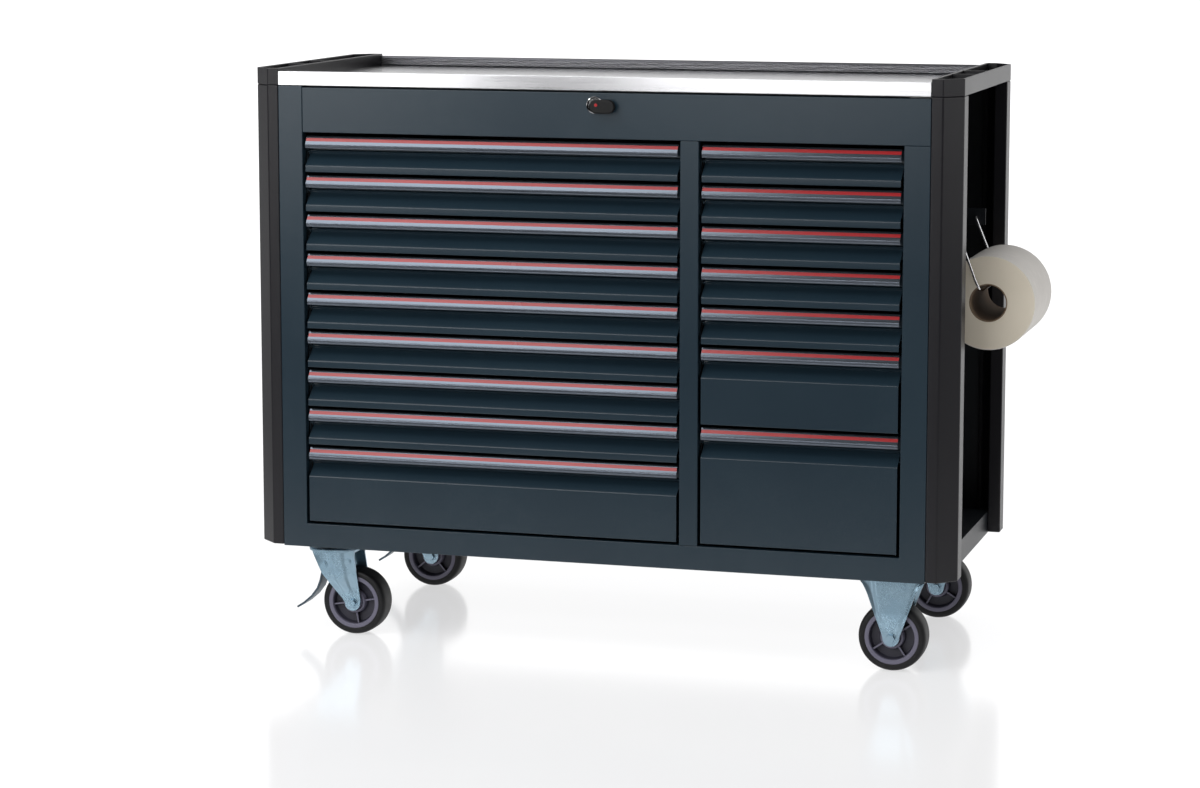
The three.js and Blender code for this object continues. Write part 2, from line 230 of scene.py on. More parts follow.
def zincPlate(name, color, lighter, rough):
    # bright zinc with a bluish passivation that pools in patches
    made = Finish(name, metallic=0.9)
    patch = made.noise(22, 4)
    spangle = made.node("ShaderNodeTexVoronoi", {}, {"Vector": made.place, "Scale": 260.0})
    mist = made.noise(420, 2)
    shade = made.mix(made.ramp(patch, (0.3, 0), (0.72, 1)) * 0.6 + spangle * 0.12, color, lighter)
    gloss = rough + (patch - 0.5) * 0.12 + (mist - 0.5) * 0.06
    return made.finished(shade, gloss, mist + spangle * 0.3, 0.03)


def rubber(name, color, lighter, rough):
    made = Finish(name, specular=0.3)
    dust = made.noise(40, 4)
    pore = made.noise(1400, 2)
    shade = made.mix(made.ramp(dust, (0.45, 0), (0.8, 1)) * 0.6, color, lighter)
    return made.finished(shade, rough + (dust - 0.5) * 0.2, pore + dust * 0.3, 0.2)


def paperLayers(name, rollX, rollZ):
    # creped sheet outside, edges of the wound layers on the two ends
    made = Finish(name, specular=0.2)
    x = made.parts("X") - rollX
    z = made.parts("Z") - rollZ
    radius = (x * x + z * z) ** 0.5
    layers = made.node("ShaderNodeMath", {"operation": "SINE"}, {0: radius * 5200 + made.noise(60, 2) * 7})
    ends = made.ramp(radius, (0.0868, 0), (0.0874, 1))    # 1 on the outer sheet
    crepe = made.noise(1, 3, made.scaled(700, 160, 700), 0.6)
    cloud = made.noise(14, 3)
    tan = made.mix(layers * 0.25 + cloud * 0.6, rgb(226, 217, 200), rgb(204, 194, 176))
    white = made.mix(cloud * 0.5 + crepe * 0.3, rgb(222, 223, 228), rgb(204, 205, 210))
    shade = made.mix(ends, tan, white)
    return made.finished(shade, 0.9, crepe * ends + layers * 0.25 * (1 - ends), 0.5)


finishes = {
    "powder": powderCoat("bluePowder", rgb(27, 42, 52), rgb(32, 48, 58), 0.27, 0.4),
    "darkPowder": powderCoat("darkPowder", rgb(22, 25, 30), rgb(27, 30, 35), 0.42, 0.4),
    "corner": mouldedPlastic("cornerPlastic", rgb(20, 19, 23), rgb(26, 25, 29), 0.36, 0.35),
    "key": mouldedPlastic("keyPlastic", rgb(7, 7, 8), rgb(12, 12, 13), 0.42, 0.25, 2200, 0.1),
    "red": mouldedPlastic("redInlay", rgb(158, 16, 22), rgb(142, 12, 18), 0.25, 0.5, 2400, 0.06),
    "pull": brushedSteel("anodisedPull", rgb(82, 88, 97), rgb(96, 102, 111), 0.2, (3, 2600, 2600), 0.9, 0.04),
    "steel": brushedSteel("brushedStainless", rgb(196, 196, 199), rgb(222, 222, 224), 0.2, (4, 1500, 1500)),
    "lip": brushedSteel("rolledLip", rgb(140, 140, 143), rgb(156, 156, 159), 0.3, (4, 900, 900), 1.0, 0.03),
    "zinc": zincPlate("zincPlate", rgb(124, 150, 166), rgb(150, 172, 186), 0.28),
    "lever": zincPlate("leverSteel", rgb(62, 74, 84), rgb(92, 106, 116), 0.36),
    "chrome": brushedSteel("brightChrome", rgb(208, 208, 210), rgb(232, 232, 234), 0.1, (900, 900, 900),
                           1.0, 0.03),
    "tyre": rubber("tyreRubber", rgb(11, 11, 13), rgb(22, 22, 25), 0.5),
    "wheel": mouldedPlastic("wheelPlastic", rgb(92, 90, 106), rgb(106, 104, 120), 0.42, 0.4, 900, 0.3),
    # painted shade: a darker copy of the wheel plastic for the sunk web between rim and hub
    "webShade": mouldedPlastic("wheelWebShade", rgb(44, 43, 54), rgb(54, 53, 64), 0.5, 0.4, 900, 0.3),
    "liner": rubber("drawerLiner", rgb(26, 27, 29), rgb(34, 35, 37), 0.8),
    "card": rubber("cardTube", rgb(122, 103, 84), rgb(142, 122, 100), 0.9),
}
print("materials:", len(finishes))


def shown(name, mesh, finish, body, replaces=(), smooth=35):
    # a finished mesh becomes a piece that rides on a body
    if finish is not None:
        mesh.materials.clear()
        mesh.materials.append(finishes[finish])
    for face in mesh.polygons:
        face.use_smooth = True
    mesh.set_sharp_from_angle(angle=math.radians(smooth))
    piece = bpy.data.objects.new(name, flattened(mesh))
    bpy.context.scene.collection.objects.link(piece)
    if body:
        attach(piece, body)
    if replaces:
        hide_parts(*replaces)
    return piece


def flattened(mesh):
    # flat faces shade flat, and only the bevels between them turn the light
    holder = bpy.data.objects.new("holder", mesh)
    bpy.context.scene.collection.objects.link(holder)
    weigh = holder.modifiers.new("weigh", "WEIGHTED_NORMAL")
    weigh.keep_sharp = True
    return settled(holder)


def meshOf(name, work, turn=True):
    if turn:
        bmesh.ops.recalc_face_normals(work, faces=work.faces)
    mesh = bpy.data.meshes.new(name)
    work.to_mesh(mesh)
    work.free()
    return mesh


def joined(name, meshes):
    work = bmesh.new()
    for mesh in meshes:
        work.from_mesh(mesh)
    return meshOf(name, work, turn=False)


def outlineFace(name, outline, axis, level):
    # a closed outline as one face, square to the axis at that level
    order = {
        "x": lambda u, v: (level, u, v),
        "y": lambda u, v: (u, level, v),
        "z": lambda u, v: (u, v, level),
    }
    work = bmesh.new()
    work.faces.new([work.verts.new(at(*order[axis](u, v))) for u, v in outline])
    mesh = bpy.data.meshes.new(name)
    work.to_mesh(mesh)
    work.free()
    return mesh


def arc(u, v, radius, start, end, steps):
    turn = [math.radians(start + (end - start) * i / steps) for i in range(steps + 1)]
    return [(u + radius * math.cos(a), v + radius * math.sin(a)) for a in turn]


def rounded(outline, radius, steps=3):
    # an outline with each of its corners turned to a short curve
    made = []
    for i, corner in enumerate(outline):
        corner = Vector(corner)
        before = Vector(outline[i - 1]) - corner
        after = Vector(outline[(i + 1) % len(outline)]) - corner
        reach = min(radius, before.length / 2.1, after.length / 2.1)
        first, last = corner + before.normalized() * reach, corner + after.normalized() * reach
        for step in range(steps + 1):
            t = step / steps
            made.append(tuple(first * (1 - t) ** 2 + corner * 2 * t * (1 - t) + last * t ** 2))
    return made


def lathed(profile, centre, steps=96):
    # closed profile of (radius, y) turned about a line along Y
    x0, y0, z0 = centre
    work = bmesh.new()
    rings = []
    for i in range(steps):
        a = 2 * math.pi * i / steps
        rings.append([work.verts.new(at(x0 + r * math.sin(a), y0 + y, z0 - r * math.cos(a)))
                      for r, y in profile])
    for i in range(steps):
        one, two = rings[i], rings[(i + 1) % steps]
        for j in range(len(profile)):
            k = (j + 1) % len(profile)
            work.faces.new([one[j], one[k], two[k], two[j]])
    return meshOf("lathed", work)


def softened(node, finish, width, body, steps=3, rename=None):
    # the part's own solid with its edges broken
    work = bmesh.new()
    work.from_mesh(frame["nodes"][node].data)
    bmesh.ops.remove_doubles(work, verts=work.verts, dist=0.00001)
    bmesh.ops.dissolve_limit(work, angle_limit=math.radians(0.5), verts=work.verts, edges=work.edges)
    mesh = bpy.data.meshes.new(node)
    work.to_mesh(mesh)
    work.free()
    return shown(rename or node + "_skin", bevelled(mesh, width, steps), finish, body, [node])


def bevelled(mesh, width, steps=3, angle=28):
    holder = bpy.data.objects.new("holder", mesh)
    bpy.context.scene.collection.objects.link(holder)
    bevel = holder.modifiers.new("bevel", "BEVEL")
    bevel.width = width / 1000
    bevel.segments = steps
    bevel.limit_method = "ANGLE"
    bevel.angle_limit = math.radians(angle)
    bevel.use_clamp_overlap = True
    return settled(holder)


def settled(holder):
    # the evaluated shape as a plain mesh; the holder goes
    bpy.context.view_layer.update()
    graph = bpy.context.evaluated_depsgraph_get()
    mesh = bpy.data.meshes.new_from_object(holder.evaluated_get(graph), depsgraph=graph)
    bpy.data.objects.remove(holder)
    return mesh


class Tree:
    # a Geometry Nodes group with named inputs
    def __init__(self, name, inputs):
        self.group = bpy.data.node_groups.new(name, "GeometryNodeTree")
        face = self.group.interface
        face.new_socket("Geometry", in_out="OUTPUT", socket_type="NodeSocketGeometry")
        self.keys = {}
        for label, kind in {"Geometry": "Geometry", **inputs, "Finish": "Material"}.items():
            socket = face.new_socket(label, in_out="INPUT", socket_type="NodeSocket" + kind)
            self.keys[label] = socket.identifier
        self.start = self.group.nodes.new("NodeGroupInput")

    def given(self, label):
        return self.start.outputs[label]

    def node(self, kind, settings=None, inputs=None, out=0):
        made = self.group.nodes.new(kind)
        for key, value in (settings or {}).items():
            setattr(made, key, value)
        for key, value in (inputs or {}).items():
            for one in value if isinstance(value, list) else [value]:
                if isinstance(one, bpy.types.NodeSocket):
                    self.group.links.new(one, made.inputs[key])
                else:
                    made.inputs[key].default_value = one
        return made.outputs[out]

    def end(self, shape):
        real = self.node("GeometryNodeRealizeInstances", {}, {0: shape})
        dressed = self.node("GeometryNodeSetMaterial", {},
                            {"Geometry": real, "Material": self.given("Finish")})
        last = self.group.nodes.new("NodeGroupOutput")
        self.group.links.new(dressed, last.inputs[0])
        return self

    def grow(self, mesh, finish, **sizes):
        # runs the group on a mesh and gives back a plain mesh
        holder = bpy.data.objects.new("holder", mesh)
        bpy.context.scene.collection.objects.link(holder)
        modifier = holder.modifiers.new("nodes", "NODES")
        modifier.node_group = self.group
        for label, value in {**sizes, "Finish": finishes[finish]}.items():
            modifier[self.keys[label]] = value
        return settled(holder)


def makeRunTree():
    # an outline face pushed along a vector into a closed bar
    tree = Tree("run", {"Along": "Vector"})
    source = tree.given("Geometry")
    pushed = tree.node("GeometryNodeExtrudeMesh", {"mode": "FACES"}, {
        "Mesh": source, "Offset": tree.given("Along"), "Offset Scale": 1.0, "Individual": False})
    lid = tree.node("GeometryNodeFlipFaces", {}, {"Mesh": source})
    both = tree.node("GeometryNodeJoinGeometry", {}, {"Geometry": [pushed, lid]})
    welded = tree.node("GeometryNodeMergeByDistance", {}, {"Geometry": both, "Distance": 0.000001})
    return tree.end(welded)


def makeBoltTree():
    # a hexagon or round head over a washer, at each point, along the given turn
    tree = Tree("bolts", {
        "Sides": "Int", "Radius": "Float", "Height": "Float", "Washer": "Float", "Turn": "Vector"})
    height = tree.given("Height")
    head = tree.node("GeometryNodeMeshCylinder", {}, {
        "Vertices": tree.given("Sides"), "Radius": tree.given("Radius"), "Depth": height})
    half = tree.node("ShaderNodeMath", {"operation": "MULTIPLY"}, {0: height, 1: 0.5})
    shift = tree.node("ShaderNodeCombineXYZ", {}, {"Z": half})
    head = tree.node("GeometryNodeTransform", {}, {"Geometry": head, "Translation": shift})
    wide = tree.node("GeometryNodeMeshCylinder", {}, {
        "Vertices": 24, "Radius": tree.given("Washer"), "Depth": 0.0012})
    pair = tree.node("GeometryNodeJoinGeometry", {}, {"Geometry": [head, wide]})
    turned = tree.node("GeometryNodeTransform", {}, {"Geometry": pair, "Rotation": tree.given("Turn")})
    spots = tree.given("Geometry")
    return tree.end(tree.node("GeometryNodeInstanceOnPoints", {}, {"Points": spots, "Instance": turned}))


def makeRibTree():
    # flat ribs standing round a hub, about the line along Y
    tree = Tree("ribs", {
        "Count": "Int", "Middle": "Float", "Size": "Vector", "Phase": "Float", "Centre": "Vector"})
    ring = tree.node("GeometryNodeMeshCircle", {}, {
        "Vertices": tree.given("Count"), "Radius": tree.given("Middle")})
    bar = tree.node("GeometryNodeMeshCube", {}, {"Size": tree.given("Size")})
    place = tree.node("GeometryNodeInputPosition")
    facing = tree.node("FunctionNodeAlignRotationToVector", {"axis": "X", "pivot_axis": "Z"},
                       {"Vector": place})
    ribs = tree.node("GeometryNodeInstanceOnPoints", {},
                     {"Points": ring, "Instance": bar, "Rotation": facing})
    spin = tree.node("ShaderNodeCombineXYZ", {}, {"Z": tree.given("Phase")})
    spun = tree.node("GeometryNodeTransform", {}, {"Geometry": ribs, "Rotation": spin})
    up = tree.node("GeometryNodeTransform", {}, {"Geometry": spun, "Rotation": (math.pi / 2, 0, 0)})
    centre = tree.given("Centre")
    return tree.end(tree.node("GeometryNodeTransform", {}, {"Geometry": up, "Translation": centre}))


runTree, boltTree, ribTree = makeRunTree(), makeBoltTree(), makeRibTree()


def run(outline, axis, start, end, finish):
    # a bar of that outline between two levels of an axis
    step = {"x": (1, 0, 0), "y": (0, 1, 0), "z": (0, 0, 1)}[axis]
    face = outlineFace("outline", outline, axis, start)
    bar = runTree.grow(face, finish, Along=[s * (end - start) / 1000 for s in step])
    work = bmesh.new()
    work.from_mesh(bar)
    mesh = meshOf("run", work)
    mesh.materials.append(finishes[finish])
    return mesh


def block(x, y, z, finish, soft=0.6):
    corners = [(x[0], y[0]), (x[1], y[0]), (x[1], y[1]), (x[0], y[1])]
    return bevelled(run(corners, "z", z[0], z[1], finish), soft, 2)


def bolts(points, finish, sides, radius, height, washer, turn):
    # the same bolt, nut or rivet at each point, with its edges broken
    mesh = bpy.data.meshes.new("points")
    mesh.from_pydata([at(*p) for p in points], [], [])
    made = boltTree.grow(mesh, finish, Sides=sides, Radius=radius / 1000, Height=height / 1000,
                         Washer=washer / 1000, Turn=turn)
    return bevelled(made, 0.4, 2)


frontward, downward, backward = (math.pi / 2, 0, 0), (math.pi, 0, 0), (-math.pi / 2, 0, 0)


body = {
    "opening": (221.4, 977.6), "left": (-580, 163), "right": (198, 580), "edge": 628,
    "bottom": 176, "top": 1065.4, "headerTop": 1062.6, "deep": 18, "soft": 1.1, "seam": 0.5,
}


def makeFrontFrame():
    low, high = body["opening"]
    edge, deep, seam = body["edge"], body["deep"], body["seam"]
    left, right = body["left"], body["right"]
    start, top = left[0] + seam, body["headerTop"]
    uShape = [(-edge, body["bottom"]), (edge, body["bottom"]), (edge, high - seam), (right[1], high - seam),
              (right[1], low), (left[0], low), (left[0], body["top"]), (-edge, body["top"])]
    header = [(start, high), (edge, high), (edge, top), (start, top)]
    mullion = [(left[1], low + 0.4), (right[0], low + 0.4), (right[0], high - 0.6), (left[1], high - 0.6)]
    soft = body["soft"]
    parts = [bevelled(run(shape, "y", 0, deep, "powder"), soft) for shape in (uShape, header, mullion)]
    skin = joined("frontFrame", parts)
    shown("front_frame_skin", skin, "powder", "cabinet", ["front_frame"])


makeFrontFrame()
for corner in ("front_left", "front_right", "rear_left", "rear_right"):
    softened("post_" + corner, "corner", 2.2, "cabinet")
for side in ("left", "right"):
    softened("side_tray_" + side, "corner", 1.4, "cabinet")
softened("worktop", "steel", 0.9, "cabinet")
frame["nodes"]["carcass_shell"].data.materials.clear()
frame["nodes"]["carcass_shell"].data.materials.append(finishes["darkPowder"])

upstand = {"from": 1074.7, "to": 1093.4, "front": 562.5, "back": 568.3, "ridge": 2.1, "count": 3}


def makeUpstand():
    # rear lip of the worktop, rolled into shallow ridges along its length
    low, high = upstand["from"], upstand["to"]
    pitch = (high - low - 4) / upstand["count"]
    line = [(upstand["back"], low), (upstand["front"], low)]
    for i in range(upstand["count"]):
        z = low + 1 + pitch * (i + 0.5)
        line += [(upstand["front"] + upstand["ridge"] - upstand["ridge"] * math.cos(math.radians(a)),
                  z + pitch * 0.45 * a / 180) for a in range(-180, 181, 40)]
    line += [(upstand["front"] + 1, high), (upstand["back"], high)]
    shown("worktop_upstand", run(line, "x", -627, 627, "lip"), "lip", "cabinet")


makeUpstand()
print("body: frame, posts, trays, worktop")


drawer = {"sideGap": 5.7, "unit": 75, "firstTop": 977, "boxInset": 3.6, "boxBack": 498, "wallTop": -12,
          "floor": 5, "sheet": 1.2, "frontSheet": 1.3}
columns = {"left": (-580, 163, [1] * 8 + [2]), "right": (198, 580, [1] * 5 + [2, 3])}
slide = {"front": 34, "back": 494, "drop": 50, "space": 13}


def frontOutline(high):
    # front sheet of a drawer: return at the top, recess, bright ledge, sloping face, fold, upright face
    inside = drawer["frontSheet"] - high
    recess = [(14, -9), (29.2, -9), (30, -9.8), (30, -33.6), (29, -34.6), (27.6, -35)]
    ledge = [(26.7, -35.6), (26.4, -36.6), (26.8, -37.6), (27.8, -38.3), (28.6, -39.4), (28.2, -40.6)]
    slope = [(26.5, -42), (3.2, -60.9)]
    fold = [(1.35, -62.6), (1.08, -63.6), (1, -64.8)]
    foot = [(1, -high + 1), (1.3, -high + 0.3), (2, -high), (14, -high)]
    inner = [(14, inside), (2.5, inside), (2.5, -64.2), (31.3, -41), (31.3, -7.8), (14, -7.8)]
    return recess + ledge + slope + fold + foot + inner


def pullOutline():
    # extruded pull: upper band with a groove for the inlay, round nose and a lip curled under
    nose = arc(2.5, -22.8, 2.5, 140, 250, 9)
    lip = arc(3.9, -28.5, 1.5, 200, 380, 6)
    groove = [(7.1, -10.3), (7.9, -10.9), (4.1, -16.8), (3.2, -16.3)]
    upper = [(13.6, -6.6), (9.9, -6.6), (9.3, -6.9), *groove, (0.9, -20.2)]
    under = [(4.3, -25.4), (4.2, -22.2), (5.2, -20), (10.3, -12.6), (11.4, -11.8), (13.6, -11.6)]
    return upper + nose + [(1.5, -26.2)] + lip + under


def inlayOutline():
    # red strip that fills the groove of the pull
    return [(7.2, -10.6), (7.75, -11), (4.2, -16.6), (3.6, -16.3)]


def makeDrawer(name, x0, x1, top, high):
    up = lambda outline: [(y, z + top) for y, z in outline]
    side0, side1 = x0 + drawer["boxInset"], x1 - drawer["boxInset"]
    foot, sheet, back = top - high + drawer["floor"], drawer["sheet"], drawer["boxBack"]
    rim = top + drawer["wallTop"]
    wall = [(30.5, rim), (30.5, top - 41), (3, top - 63), (3, foot), (back, foot), (back, rim)]
    parts = [run(up(frontOutline(high)), "x", x0, x1, "powder"),
             run(wall, "x", side0, side0 + sheet, "powder"),
             run(wall, "x", side1 - sheet, side1, "powder"),
             block((side0 + sheet, side1 - sheet), (3, back), (foot, foot + sheet), "powder", 0.2),
             block((side0 + sheet, side1 - sheet), (back - sheet, back), (foot + sheet, rim), "powder", 0.2)]
    for x in (side0 + 1.4, side1 - 1.4):
        hem = [(x - 2.2, rim - 3), (x + 2.2, rim - 3), (x + 2.2, rim + 0.4), (x - 2.2, rim + 0.4)]
        parts.append(run(rounded(hem, 1.4), "y", 31.5, back, "powder"))
    shown(name + "_body", joined(name, parts), "powder", name, [name + "_box"])
    pull = run(up(pullOutline()), "x", x0, x1, "pull")
    shown(name + "_pull", pull, "pull", name, [name + "_handle"])
    shown(name + "_inlay", run(up(inlayOutline()), "x", x0 + 0.3, x1 - 0.3, "red"), "red", name)
    mat = rounded([(side0 + 3, 34), (side1 - 3, 34), (side1 - 3, back - 4), (side0 + 3, back - 4)], 6)
    shown(name + "_liner", run(mat, "z", foot + sheet + 0.2, foot + sheet + 2, "liner"), "liner", name)
    makeSlides(name, side0, side1, top - slide["drop"])


def channel(x, way, depth, z, high):
    # a C section as (x, z), open towards the way given, with its lips rolled in
    t, h = 1.1, high / 2
    shape = [(0, -h), (depth, -h), (depth, -h + 5), (depth - t, -h + 5), (depth - t, -h + t), (t, -h + t),
             (t, h - t), (depth - t, h - t), (depth - t, h - 5), (depth, h - 5), (depth, h), (0, h)]
    return [(x + way * u, z + v) for u, v in shape]


def makeSlides(name, side0, side1, z):
    # three members a side: one on the carcass, one on the drawer, and one between, which on the real slide
    # travels half as far; here it rides on no body
    front, back, space = slide["front"], slide["back"], slide["space"]
    fixed, moving, middle = [], [], []
    for x, way in ((side0, -1), (side1, 1)):
        moving.append(run(channel(x + way * 0.2, way, 3.6, z, 18), "y", front - 2, back + 2, "zinc"))
        middle.append(run(channel(x + way * 4.1, way, 4.4, z, 24), "y", front - 1, back - 4, "zinc"))
        outer = channel(x + way * (space - 0.2), -way, 4.0, z, 31)
        fixed.append(run(outer, "y", front - 3, back + 1, "zinc"))
    shown(name + "_slide_drawer_member", joined(name, moving), "zinc", name)
    shown(name + "_slide_fixed_member", joined(name, fixed), "zinc", "cabinet")
    half = shown(name + "_slide_middle_member", joined(name, middle), "zinc", None)
    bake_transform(half)


for side, (start, end, units) in columns.items():
    top = drawer["firstTop"]
    for i, count in enumerate(units):
        high = count * drawer["unit"]
        makeDrawer(f"drawer_{side}_{i + 1}", start + drawer["sideGap"], end - drawer["sideGap"], top, high)
        top -= high
print("drawers:", sum(len(units) for start, end, units in columns.values()))


lock = {"z": 1040, "key": (17.5, -2), "long": 49, "high": 26, "front": -17.4, "dot": (-11, 3, 3.0)}


def makeLock():
    z = lock["z"]
    ring = [(12.4, -1), (13, -3.4), (14.2, -4.2), (15.6, -3.8), (16.6, -2.2), (17, 0), (17, 1), (12.4, 1)]
    shown("lock_bezel", lathed(ring, (0, 0, z), 64), "chrome", "cabinet")
    plug = [(0.01, -3.2), (8, -3.2), (8.7, -2.6), (8.9, 12), (0.01, 12)]
    plate = [(9.4, -2.2), (12.2, -2.2), (12.2, 1), (9.4, 1)]
    shown("lock_face", lathed(plate, (0, 0, z), 48), "chrome", "cabinet")
    kx, kz = lock["key"]
    reach, r = lock["long"] / 2 - lock["high"] / 2, lock["high"] / 2
    bow = arc(kx + reach, z + kz, r, -90, 90, 16) + arc(kx - reach, z + kz, r, 90, 270, 16)
    parts = [bevelled(run(bow, "y", lock["front"], -8, "key"), 2.6, 4),
             run([(x, y + z) for x, y in ((-3, -5), (8, -5), (8, 5), (-3, 5))], "y", -9, -2, "key"),
             lathed(plug, (0, 0, z), 32)]
    shown("lock_key_head", joined("key", parts), "key", "lock", ["lock_key"])
    dx, dz, size = lock["dot"]
    dot = arc(kx + dx, z + kz + dz, size, 0, 345, 23)
    shown("lock_key_dot", bevelled(run(dot, "y", -18, lock["front"] + 0.6, "red"), 0.4), "red", "lock")


makeLock()


roll = {"x": 705, "z": 674, "radius": 88, "core": 33.6, "wall": 2.2, "long": 200, "middle": 287.5}


def makePaperRoll():
    y0 = -roll["long"] / 2
    y1 = -y0
    r, core = roll["radius"], roll["core"] + roll["wall"]
    centre = (roll["x"], roll["middle"], roll["z"])
    layers = [(core + (r - core) * i / 12, y0 + 0.25 * (i % 2)) for i in range(1, 12)]
    near = [(core, y0 + 0.4), (core + 1, y0), *layers, (r - 1, y0 + 0.1), (r, y0 + 1.2)]
    far = [(r, y1 - 1.2), (r - 1, y1 - 0.1), (core + 1, y1), (core, y1 - 0.4)]
    wound = lathed(near + far, centre, 128)
    shown("paper_roll_sheet", wound, "paper", "roll", ["paper_roll"], smooth=50)
    bore, wall = roll["core"], core - 0.1
    tube = [(bore, y0 + 0.6), (wall, y0 + 0.6), (wall, y1 - 0.6), (bore, y1 - 0.6)]
    shown("paper_roll_core", lathed(tube, centre, 72), "card", "roll")


low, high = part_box("paper_roll")
finishes["paper"] = paperLayers("creped", (low.x + high.x) / 2, (low.z + high.z) / 2)
makePaperRoll()

holder = {"wire": 2.4, "pivot": (644, 813), "corner": (690, 699), "reach": 107.5}


def wireAlong(points, radius):
    # round wire through the points, with its ends closed
    curve = bpy.data.curves.new("wire", "CURVE")
    curve.dimensions = "3D"
    curve.bevel_depth = radius / 1000
    curve.bevel_resolution = 5
    curve.resolution_u = 10
    curve.use_fill_caps = True
    spline = curve.splines.new("BEZIER")
    spline.bezier_points.add(len(points) - 1)
    for point, place in zip(spline.bezier_points, points):
        point.co = at(*place)
        point.handle_left_type = point.handle_right_type = "AUTO"
    thing = bpy.data.objects.new("wire", curve)
    bpy.context.scene.collection.objects.link(thing)
    return settled(thing)


def makeRollHolder():
    middle, reach = roll["middle"], holder["reach"]
    (px, pz), (cx, cz) = holder["pivot"], holder["corner"]
    plate = [block((586.3, 589.3), (middle - 116, middle + 116), (782, 846), "darkPowder", 0.8)]
    parts = []
    for way in (-1, 1):
        y = lambda d: middle + way * d
        near, far = sorted((y(113), y(116)))
        plate.append(block((589, 662), (near, far), (797, 829), "darkPowder", 0.8))
        hook = [(px, y(114.5), pz), (px, y(reach + 3), pz), (px + 1.5, y(reach), pz - 4)]
        arm = [((px + cx) / 2, y(reach), (pz + cz) / 2 - 1), (cx - 1.5, y(reach), cz + 4)]
        route = hook + arm + [(cx + 1.5, y(reach - 5), cz + 0.5), (cx + 12, y(reach - 45), cz + 4)]
        parts.append(wireAlong(route, holder["wire"]))
    shown("roll_holder_wires", joined("holder", parts), "chrome", "cabinet", ["roll_holder"])
    shown("roll_holder_plate", joined("plate", plate), "darkPowder", "cabinet")
    boss = [(0.01, -6), (9, -6), (12, -4), (12.5, 0), (12.5, 5), (0.01, 5)]
    mirrored = [(r, -y) for r, y in boss]
    bosses = [lathed(boss, (px, middle - 120, pz), 40), lathed(mirrored, (px, middle + 120, pz), 40)]
    shown("roll_holder_bosses", joined("bosses", bosses), "corner", "cabinet")


makeRollHolder()
print("lock, roll and holder")


castor = {"x": 561, "swivelX": -556, "y": 59, "rearY": 516, "trail": 57, "top": 183.7, "wheel": 64,
          "toe": 15.5, "leg": 31.5, "ribs": 4, "plate": (70, 39.8), "holes": (56, 30), "edge": 0.7,
          "ribMiddle": 32.2, "ribSize": (21.5, 3.2, 36)}


def makeWheel(corner, x, y, phase):
    centre = (x, y, castor["wheel"])
    name, bodyName = "castor_" + corner, "castor_" + corner + "_wheel"
    half = [(51, 24), (55, 25), (58.6, 24.7), (61, 23.2), (62.6, 20.6), (63.5, 16.6), (63.9, 11), (64, 4)]
    tread = half + [(r, -w) for r, w in reversed(half)]
    shown(name + "_tyre_tread", lathed(tread, centre, 96), "tyre", bodyName, [name + "_tyre"])
    rim = [(50.8, 24), (50, 24.6), (44.4, 24.6), (43.2, 23.6), (42.4, 19), (41.6, 10.4), (40, 8.2)]
    hub = [(25, 7), (22.5, 9.6), (21.8, 19.4), (21, 20.4), (17.6, 20.4), (17, 19.6), (16.4, 17), (15, 24.6)]
    side = [*rim, *hub, (6.6, 24.6)]
    rimProfile = side + [(r, -w) for r, w in reversed(side)]
    parts = [lathed(rimProfile, centre, 96)]
    ribSize = [v / 1000 for v in castor["ribSize"]]
    ribs = ribTree.grow(bpy.data.meshes.new("empty"), "wheel", Count=castor["ribs"], Size=ribSize,
                        Middle=castor["ribMiddle"] / 1000, Phase=math.radians(phase), Centre=at(*centre))
    parts.append(bevelled(ribs, 0.5, 2))
    wheel = shown(name + "_wheel_centre", joined("centre", parts), "wheel", bodyName, [name + "_wheel"],
                  40)
    wheel.data.materials.append(finishes["webShade"])
    for face in wheel.data.polygons:    # painted shade: the sunk web between rim and hub takes the darker copy of the wheel plastic
        away = (face.center - at(*centre))
        radius = math.hypot(away.x, away.z) * 1000
        if 22.6 < radius < 42.3 and abs(away.y) * 1000 < 17:
            face.material_index = 1


def pressedLeg(rows, y, way, relief, thick=3.2, across=34):
    # a pressed plate: rows of (z, left, right) and a relief that lifts it outwards; way is -1 in front
    work = bmesh.new()
    sheets = []
    for shift in (0, thick):
        grid = []
        for z, left, right in rows:
            line = []
            for i in range(across + 1):
                x = left + (right - left) * i / across
                line.append(work.verts.new(at(x, y + way * (relief(x, z) - shift), z)))
            grid.append(line)
        sheets.append(grid)
    outer, inner = sheets
    count = len(rows)
    for j in range(count - 1):
        for i in range(across):
            work.faces.new([outer[j][i], outer[j][i + 1], outer[j + 1][i + 1], outer[j + 1][i]])
            work.faces.new([inner[j][i], inner[j + 1][i], inner[j + 1][i + 1], inner[j][i + 1]])
    for j in range(count - 1):
        for i in (0, across):
            work.faces.new([outer[j][i], inner[j][i], inner[j + 1][i], outer[j + 1][i]])
    for j in (0, count - 1):
        for i in range(across):
            work.faces.new([outer[j][i], outer[j][i + 1], inner[j][i + 1], inner[j][i]])
    return meshOf("leg", work)


def pressedLegs(rows, y, relief):
    # the front and the rear plate of a fork
    out = castor["leg"]
    return [bevelled(pressedLeg(rows, y + way * out, way, relief), castor["edge"], 2, 62) for way in (-1, 1)]


def easy(value, low, high):
    # rises smoothly from 0 to 1 between low and high
    t = min(1, max(0, (value - low) / (high - low)))
    return t * t * (3 - 2 * t)


def between(stops, value):
    # the value of a line through the stops, which run downwards
    for (a, va), (b, vb) in zip(stops, stops[1:]):
        if a >= value >= b:
            return va + (vb - va) * (a - value) / (a - b)
    return stops[-1][1]


